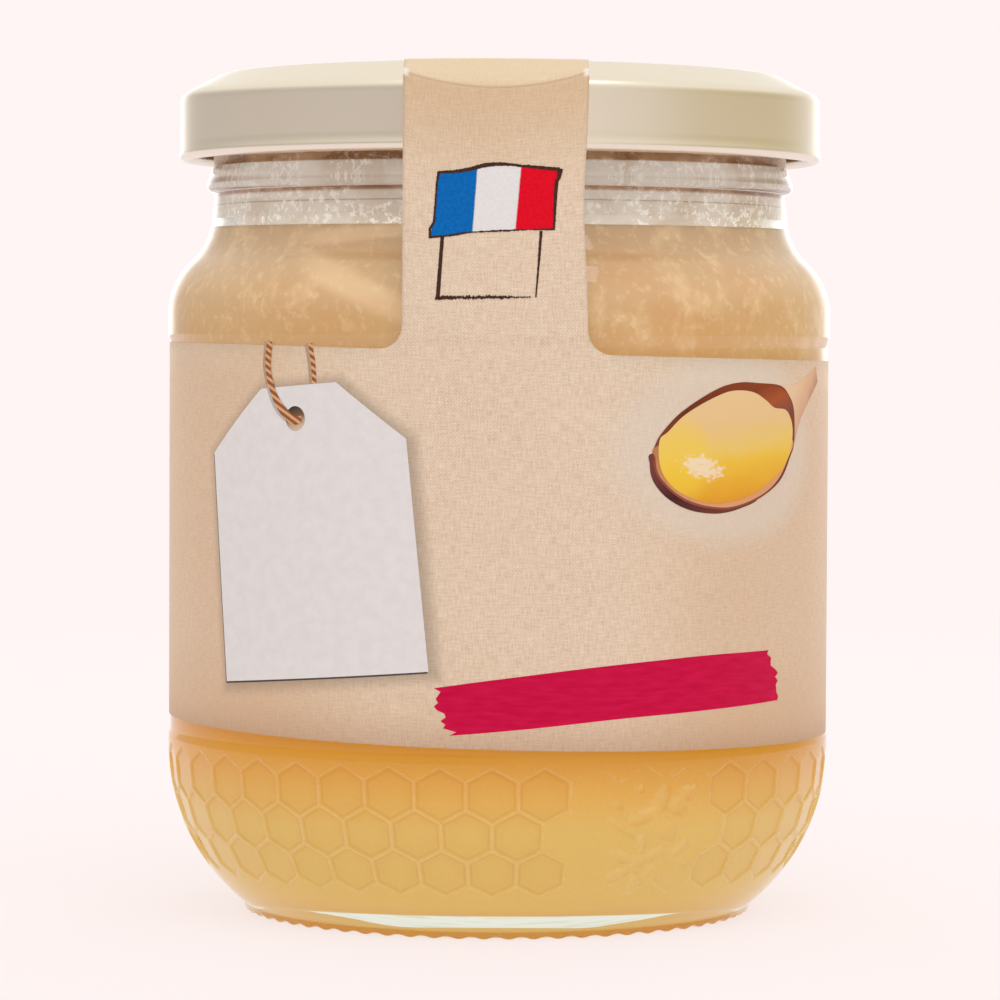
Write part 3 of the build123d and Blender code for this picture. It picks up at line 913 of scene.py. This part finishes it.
def buildFlag():
    # three bands on a small board, drawn with a brush
    brown = inkMaterial("brushBrown", ((58, 36, 28), (78, 50, 38)))
    top = [(-7.2, 90.1), (-5.4, 90.2), (-3.6, 90.45), (-1.5, 90.95), (0.6, 91.05), (2.7, 90.85), (7.1, 90.5)]
    low = [(-8.1, 82.6), (-5.6, 82.85), (-3.1, 83.2), (1.9, 83.45), (6.4, 83.6)]
    topLine = curveThrough(top, 200)
    lowLine = curveThrough(low, 200)

    def stretchOf(line, first, last):
        # the part of a line between two places across, in even steps
        places = np.linspace(first, last, 24)
        return np.stack([places, np.interp(places, line[:, 0], line[:, 1])], 1)

    bands = (("flagBlue", -7.25, -2.6, -8.05, -3.12, ((0, 96, 174), (4, 110, 188))),
             ("flagWhite", -2.67, 2.57, -3.19, 1.88, ((226, 223, 222), (232, 229, 228))),
             ("flagRed", 2.5, 7.1, 1.81, 6.4, ((220, 0, 28), (228, 8, 40))))
    for name, topLeft, topRight, lowLeft, lowRight, shades in bands:
        printedPatch(name, stretchOf(lowLine, lowLeft, lowRight), stretchOf(topLine, topLeft, topRight),
                     inkMaterial(name, shades), lift=0.02)
    printedLine("flagTop", top, [0.3, 0.42, 0.5, 0.3, 0.42], brown, rough=0.03)
    printedLine("flagLow", low, [0.3, 0.22, 0.3, 0.14, 0.2, 0.14, 0.24], brown, rough=0.03)
    printedLine("flagLeft", [(-7.2, 90.2), (-7.4, 89.0), (-7.65, 84.4), (-8.15, 83.6), (-8.1, 82.5)],
                [0.34, 0.26, 0.24, 0.3, 0.34], brown, rough=0.02, smooth=False)
    printedLine("flagRight", [(7.15, 90.6), (7.0, 89.6), (6.65, 88.6), (6.35, 83.5)],
                [0.7, 0.45, 0.42, 0.26], brown, rough=0.03)
    printedLine("boardLeft", [(-6.65, 82.8), (-7.1, 75.5)], [0.42, 0.44, 0.46], brown, rough=0.02)
    printedLine("boardRight", [(4.85, 83.4), (4.5, 79.0), (4.2, 75.7)], [0.36, 0.26, 0.14], brown, rough=0.02)
    printedLine("boardLow", [(-7.4, 75.6), (-3.0, 75.7), (1.0, 75.72), (3.6, 75.75)],
                [0.42, 0.36, 0.3, 0.2, 0.1], brown, rough=0.07)


def printedField(name, outline, material, lift, rows=10):
    # a field of colour inside a closed outline: rings from its edge in to its middle
    outline = np.array(outline)
    middle = (outline.min(0) + outline.max(0)) / 2
    share = np.linspace(0, 1, rows)[:, None, None]
    flat = outline * (1 - share) + middle * share
    points = onLabel(flat[..., 0], flat[..., 1], lift)
    return makePiece(name, [(points.reshape(-1, 3), gridFaces(rows, len(outline), closed=True))], material,
                     uv=flat.reshape(-1, 2), weld=1e-3, close=False)


def closedCurve(points, count):
    # a smooth closed outline through a few points
    points = np.array(points, float)
    looped = np.vstack([points[-2:], points, points[:3]])
    curve = curveThrough(looped, (len(looped) - 1) * count + 1)
    return curve[2 * count:(len(points) + 2) * count]


def closedCorners(points, count):
    # a closed outline with corners, each side cut into the same number of steps
    points = np.array(points, float)
    share = np.arange(count)[None, :, None] / count
    return (points[:, None] * (1 - share) + np.roll(points, -1, 0)[:, None] * share).reshape(-1, 2)


def buildTag():
    # a bare card tag hung from a twine, over its own thin shadow
    card = inkMaterial("cardTag", ((225, 221, 220), (230, 226, 225)), grain=60.0)
    dark = inkMaterial("tagShadow", ((74, 66, 66), (92, 80, 76)), grain=120.0)
    outline = closedCorners(tagOutline, 16)
    printedField("tagShadow", outline + [-0.12, -0.22], dark, 0.015)
    printedField("tagCard", outline, card, 0.03)
    twine = twineMaterial()
    shade = inkMaterial("twineShadow", ((172, 146, 120), (186, 160, 134)))
    soft = inkMaterial("cardShadow", ((184, 176, 174), (196, 189, 187)))
    right = [(-23.3, 70.3), (-22.85, 67.8), (-22.7, 65.5)]
    left = [(-29.45, 70.5), (-29.7, 67.8), (-29.2, 65.5), (-28.2, 63.5), (-26.95, 62.15), (-25.6, 61.3), (-24.5, 61.45)]
    printedLine("twineShadeRight", np.array(right) - [0.45, 0], [0.7, 0.6], shade, lift=0.02)
    printedLine("twineShadeLeft", np.array(left[:3]) - [0.5, 0], [0.7, 0.8], shade, lift=0.02)
    printedLine("twineShadeCard", np.array(left[2:6]) - [0.45, 0.3], [0.7, 0.8, 0.6], soft, lift=0.045)
    printedLine("twineRight", right, [0.62, 0.66, 0.6], twine, lift=0.025, rough=0.015)
    hole = shadedInk("tagHole", (-25.45, 61.5), 1.45, [(0.0, (60, 48, 44)), (0.45, (120, 92, 72)),
                                                       (0.7, (196, 168, 142)), (1.0, (214, 192, 172))])
    printedField("tagHole", ellipse((-25.45, 61.5), 1.42, 1.46, 0, 0, 351, 40), hole, 0.05, rows=4)
    printedLine("twineLeft", left, [0.95, 0.85, 0.9, 1.1, 1.1, 0.8], twine, lift=0.07, rough=0.015)


def twineMaterial():
    nodes = newNodes("twine")
    across, height, _ = nodes.parts(nodes.flat())
    turns = nodes.maths("SINE", across * 420 + height * 760)
    fibre = nodes.noise(nodes.flat(), 700.0, 2.0)
    tone = nodes.step(turns + fibre * 1.6 - 0.8, -0.5, 0.8)
    shade = nodes.mix(tone, colour(146, 92, 60), colour(226, 170, 124))
    return nodes.finish(nodes.surface({"Base Color": shade, "Roughness": 0.6, "Specular IOR Level": 0.1,
                                       "Normal": nodes.bump(tone, 0.3, 0.05)}))


def ellipse(middle, long, wide, tilt, start, end, count=24):
    # points of an ellipse between two angles in degrees, turned by its tilt
    turns = np.radians(np.linspace(start, end, count))
    c, s = math.cos(math.radians(tilt)), math.sin(math.radians(tilt))
    x, y = long * np.cos(turns), wide * np.sin(turns)
    return np.stack([middle[0] + x * c - y * s, middle[1] + x * s + y * c], 1)


def shadedInk(name, middle, reach, stops, tilt=-70.0, mottle=0.2, grain=45.0):
    # ink whose shade runs across the field along one direction, with a faint mottle
    nodes = newNodes(name)
    flat = nodes.flat()
    across, height, _ = nodes.parts(flat)
    c, s = math.cos(math.radians(tilt)), math.sin(math.radians(tilt))
    along = ((across * 100 - middle[0]) * c + (height * 100 - middle[1]) * s) / (2 * reach) + 0.5
    uneven = nodes.noise(flat, grain, 4.0) - 0.5
    return nodes.finish(nodes.surface({"Base Color": nodes.ramp(along + uneven * mottle, stops),
                                       "Roughness": 0.55, "Specular IOR Level": 0.1}))


def spoonHoneyInk():
    # honey in the spoon: pale above, yellow in its middle, amber at its lower edge, with a broken glint
    nodes = newNodes("spoonHoney")
    flat = nodes.flat()
    across, height, _ = nodes.parts(flat)
    x, z = across * 100, height * 100
    uneven = nodes.noise(flat, 40.0, 4.0) - 0.5
    along = (66.0 - z + (x - 30.0) * 0.1) / 15.5
    body = nodes.ramp(along + uneven * 0.12, [(0.0, (234, 202, 150)), (0.3, (232, 196, 140)), (0.5, (236, 200, 108)),
                                              (0.62, (238, 192, 62)), (0.85, (230, 164, 42)), (1.0, (216, 132, 48))])
    yellow = 1 - nodes.step(((x - 22.5) / 4.5) ** 2 + ((z - 57.0) / 5.0) ** 2, 0.2, 1.4)
    body = nodes.mix(yellow * 0.6, body, colour(243, 206, 66))
    rim = nodes.step(((x - 30.6) / 12.2) ** 2 + ((z - 58.2 - (x - 30.6) * 0.16) / 6.9) ** 2, 0.72, 1.0)
    body = nodes.mix(rim * (1 - nodes.step(z, 52.5, 57.0)) * 0.5, body, colour(214, 130, 66))
    spot = ((x - 25.6) / 3.6) ** 2 + ((z - 56.0 + (x - 25.6) * 0.18) / 1.6) ** 2
    glint = 1 - nodes.step(spot + (nodes.noise(nodes.stretched(flat, (0.5, 1.0, 1.0)), 230.0, 4.0) - 0.5) * 3.6, 0.2, 0.9)
    body = nodes.mix(glint * 0.75, body, colour(244, 224, 206))
    return nodes.finish(nodes.surface({"Base Color": body, "Roughness": 0.5, "Specular IOR Level": 0.15}))


def buildSpoon():
    # a wooden spoon filled with honey, as fields of colour one over the other
    under = shadedInk("spoonUnder", (24.5, 53.5), 4.0, [(0.0, (120, 62, 58)), (0.5, (74, 34, 36)), (1.0, (112, 60, 50))])
    brown = shadedInk("spoonRim", (30.0, 59.0), 9.0,
                      [(0.0, (142, 66, 34)), (0.45, (112, 48, 28)), (1.0, (150, 84, 60))], tilt=-110)
    pale = shadedInk("spoonLip", (30.5, 54.0), 8.0, [(0.0, (186, 124, 84)), (0.6, (222, 160, 116)), (1.0, (206, 140, 100))])
    red = shadedInk("spoonWell", (39.0, 64.0), 3.2, [(0.0, (128, 54, 26)), (0.5, (168, 84, 40)), (1.0, (112, 66, 66))])
    grip = shadedInk("spoonHandle", (46.5, 64.0), 3.4,
                     [(0.0, (232, 196, 158)), (0.5, (216, 172, 138)), (0.75, (188, 136, 112)), (1.0, (198, 152, 130))],
                     tilt=-42)
    printedPatch("spoonHandle", [(42.6, 57.6), (44.2, 60.7), (46.6, 63.1), (50.9, 65.9)],
                 [(39.3, 65.5), (42.9, 65.6), (45.8, 66.5), (50.1, 67.9)], grip, lift=0.02)
    printedField("spoonUnder", closedCurve([(18.6, 57.7), (18.2, 56.4), (18.6, 54.6), (20.0, 52.9), (21.9, 51.7),
                                            (24.0, 50.95), (26.3, 50.6), (28.5, 50.55), (31.4, 51.0), (35.0, 52.2),
                                            (34.0, 54.5), (24.0, 57.0)], 8), under, 0.025)
    bowl = [(19.0, 58.9), (18.6, 57.2), (19.05, 55.3), (20.1, 54.0), (21.9, 52.65), (24.0, 51.7), (26.7, 51.15),
            (29.9, 51.0), (33.65, 51.7), (37.3, 53.0), (39.9, 54.5), (41.65, 56.6), (42.9, 58.7), (42.85, 62.5),
            (41.4, 64.45), (39.3, 65.55), (34.8, 65.85), (31.7, 65.95), (28.6, 65.45), (25.3, 64.1),
            (22.2, 62.3), (20.05, 60.35)]
    printedField("spoonRim", closedCurve(bowl, 6), brown, 0.035, rows=14)
    printedField("spoonLip", closedCurve([(19.3, 58.6), (18.95, 57.1), (19.3, 55.4), (20.4, 54.1), (22.0, 52.9),
                                          (24.0, 52.0), (26.7, 51.4), (29.9, 51.25), (33.6, 51.95), (37.1, 53.2),
                                          (39.6, 54.8), (41.3, 56.8), (42.6, 58.9), (38.0, 60.5), (28.0, 60.5)], 6),
                 pale, 0.045, rows=14)
    printedField("spoonWell", closedCurve([(34.3, 64.9), (36.3, 63.5), (38.0, 62.5), (40.7, 62.3), (42.4, 62.1),
                                           (41.5, 64.1), (39.4, 65.2), (36.5, 65.5)], 6), red, 0.055, rows=8)
    printedField("spoonHoney", closedCurve([(19.5, 59.3), (20.6, 60.2), (22.7, 62.0), (25.8, 63.6), (29.3, 64.8),
                                            (32.0, 64.98), (34.3, 64.65), (36.3, 63.8), (38.1, 62.9), (40.7, 62.6),
                                            (42.1, 61.3), (42.45, 59.6), (41.7, 57.3), (39.6, 55.3), (36.5, 53.7),
                                            (32.8, 52.35), (29.4, 51.8), (26.5, 51.8), (23.8, 52.5), (21.5, 53.6),
                                            (20.0, 55.2), (19.4, 57.1)], 6), spoonHoneyInk(), 0.065, rows=16)


def buildBanner():
    # one broad stroke of paint with torn ends
    pink = inkMaterial("bannerPink", ((196, 2, 62), (208, 16, 72)), grain=30.0, stretch=(1.0, 6.0, 1.0))
    edge = np.random.default_rng(4)
    across = np.linspace(0, 1, 60)
    upper = curveThrough([(-7.4, 30.5), (0.3, 31.6), (12.0, 32.95), (25.3, 33.85), (37.6, 34.0)], 60)
    lower = curveThrough([(-5.3, 25.0), (3.8, 25.85), (14.6, 26.85), (25.4, 27.4), (39.3, 27.9)], 60)
    rows = 14
    v = np.linspace(0, 1, rows)[:, None, None]
    flat = lower * (1 - v) + upper * v
    ragged = edge.normal(0, 0.42, (rows, 2))
    flat[..., 0] += ragged[:, :1] * (1 - across) ** 12 + ragged[:, 1:] * across ** 12
    points = onLabel(flat[..., 0], flat[..., 1], 0.02)
    makePiece("bannerStroke", [(points.reshape(-1, 3), gridFaces(rows, 60))], pink,
              uv=flat.reshape(-1, 2), close=False)


# ---- stage ----

stage = {
    "backdrop": (255, 245, 244),
    "camera": (0.2, -531.0, 70.6),
    "pitch": 0.03723,              # radians, down
    "roll": 0.00456,               # radians, the right side lower
    "lens": 152.98,
    "worldLight": 0.8,
}


def aim(direction):
    # the turn that points a lamp's or camera's -Z along a direction, with its Y up
    return Vector(direction).to_track_quat("-Z", "Y").to_euler()


def seenDirectly(nodes):
    # 1 for what the camera sees straight, in a reflection or through glass
    light = nodes.add("ShaderNodeLightPath")
    kinds = [nodes.value(light, kind) for kind in ("Is Camera Ray", "Is Glossy Ray", "Is Transmission Ray")]
    return kinds[0].math("MAXIMUM", kinds[1]).math("MAXIMUM", kinds[2]), kinds[1]


def buildWorld(scene):
    # a pale room: even light, the backdrop's colour behind, and softer walls for what mirrors the front
    scene.world = bpy.data.worlds.new("studio")
    nodes = Nodes(scene.world)
    seen, mirrored = seenDirectly(nodes)
    x, y, z = nodes.parts(nodes.add("ShaderNodeTexCoord").outputs["Generated"])
    around = nodes.maths("ARCTAN2", x, 0.0 - y) / (2 * math.pi) + 0.5
    walls = nodes.ramp(around, [(0.0, stage["backdrop"]), (0.035, (255, 250, 246)), (0.075, (220, 214, 204)),
                                (0.1, (205, 198, 190)), (0.14, (195, 188, 180)), (0.23, (194, 187, 177)),
                                (0.4, (184, 177, 166)), (0.47, (162, 153, 135)), (0.53, (236, 228, 217)),
                                (0.6, (228, 221, 206)), (0.655, (220, 211, 193)), (0.7, (202, 188, 145)),
                                (0.82, (202, 188, 145)), (0.865, (218, 208, 180)), (0.885, (232, 226, 210)),
                                (0.93, (244, 238, 228)), (0.965, (255, 250, 246)), (1.0, stage["backdrop"])])
    walls = nodes.mix(nodes.step(z, 0.12, 0.5), walls, colour(255, 251, 240))
    shown = nodes.mix(mirrored, colour(*stage["backdrop"]), walls)
    plain = nodes.add("ShaderNodeBackground", None, {"Color": (1.0, 0.985, 0.97, 1),
                                                     "Strength": stage["worldLight"]}).outputs[0]
    pale = nodes.add("ShaderNodeBackground", None, {"Color": shown, "Strength": 1.0}).outputs[0]
    room = nodes.add("ShaderNodeMixShader", None, {0: seen, 1: plain, 2: pale}).outputs[0]
    glare = nodes.add("ShaderNodeBackground", None, {"Color": (1.0, 0.98, 0.96, 1), "Strength": 2.1}).outputs[0]
    behind = (1 - nodes.step(around, 0.035, 0.09)) + nodes.step(around, 0.9, 0.965)    # whitens upright edges
    behind = behind * (1 - nodes.step(abs(z), 0.1, 0.3)) * mirrored
    nodes.finish(nodes.add("ShaderNodeMixShader", None, {0: behind, 1: room, 2: glare}).outputs[0])


def buildFloor(scene):
    # the backdrop's colour everywhere, with the jar's own soft shadow near it
    nodes = newNodes("paleFloor")
    seen, _ = seenDirectly(nodes)
    x, y, _ = nodes.parts(nodes.place())
    away = (x * x + y * y) ** 0.5
    share = nodes.step(away, 0.1, 0.6) * 0.25 + 0.75
    paper = nodes.add("ShaderNodeBsdfDiffuse", None, {"Color": colour(251, 242, 241)}).outputs[0]
    glow = nodes.add("ShaderNodeEmission", None, {"Color": colour(*stage["backdrop"])}).outputs[0]
    mixed = nodes.add("ShaderNodeMixShader", None, {0: seen * share, 1: paper, 2: glow}).outputs[0]
    reach = 6.0
    mesh = bpy.data.meshes.new("floor")
    mesh.from_pydata([(-reach, -reach, 0), (reach, -reach, 0), (reach, reach, 0), (-reach, reach, 0)], [],
                     [(0, 1, 2, 3)])
    mesh.materials.append(nodes.finish(mixed))
    floor = bpy.data.objects.new("floor", mesh)
    scene.collection.objects.link(floor)


def buildLamps(scene):
    # two tall soft boxes behind the sides, which whiten the edges, and a broad one above the front
    for name, place, width, height, power in (
        ("leftBox", (-0.3, 0.73, 0.12), 0.5, 0.9, 1.8),
        ("rightBox", (0.36, 0.7, 0.12), 0.5, 0.9, 2.6),
        ("topBox", (0.1, -0.45, 0.95), 0.7, 0.5, 2.4),
    ):
        lamp = bpy.data.lights.new(name, "AREA")
        lamp.shape, lamp.size, lamp.size_y, lamp.energy = "RECTANGLE", width, height, power
        holder = bpy.data.objects.new(name, lamp)
        holder.location = place
        holder.rotation_euler = aim((-place[0], -place[1], 0.06 - place[2]))
        holder.visible_camera = holder.visible_transmission = False
        holder.visible_glossy = place[2] > 0.5
        scene.collection.objects.link(holder)


def buildCamera(scene):
    eye = bpy.data.cameras.new("eye")
    eye.lens = stage["lens"]
    eye.clip_start, eye.clip_end = 0.01, 20
    camera = bpy.data.objects.new("eye", eye)
    camera.location = [place * mm for place in stage["camera"]]
    camera.rotation_euler = aim((0, math.cos(stage["pitch"]), -math.sin(stage["pitch"])))
    camera.rotation_euler.rotate_axis("Z", stage["roll"])
    scene.collection.objects.link(camera)
    scene.camera = camera


def buildStage():
    scene = bpy.context.scene
    scene.view_settings.view_transform = "Standard"
    for build in (buildWorld, buildFloor, buildLamps, buildCamera):
        build(scene)


buildGlass()
buildHoney()
buildFilm()
buildLid()
buildLabel()
buildTag()
buildFlag()
buildSpoon()
buildBanner()
buildStage()
print("pieces made")
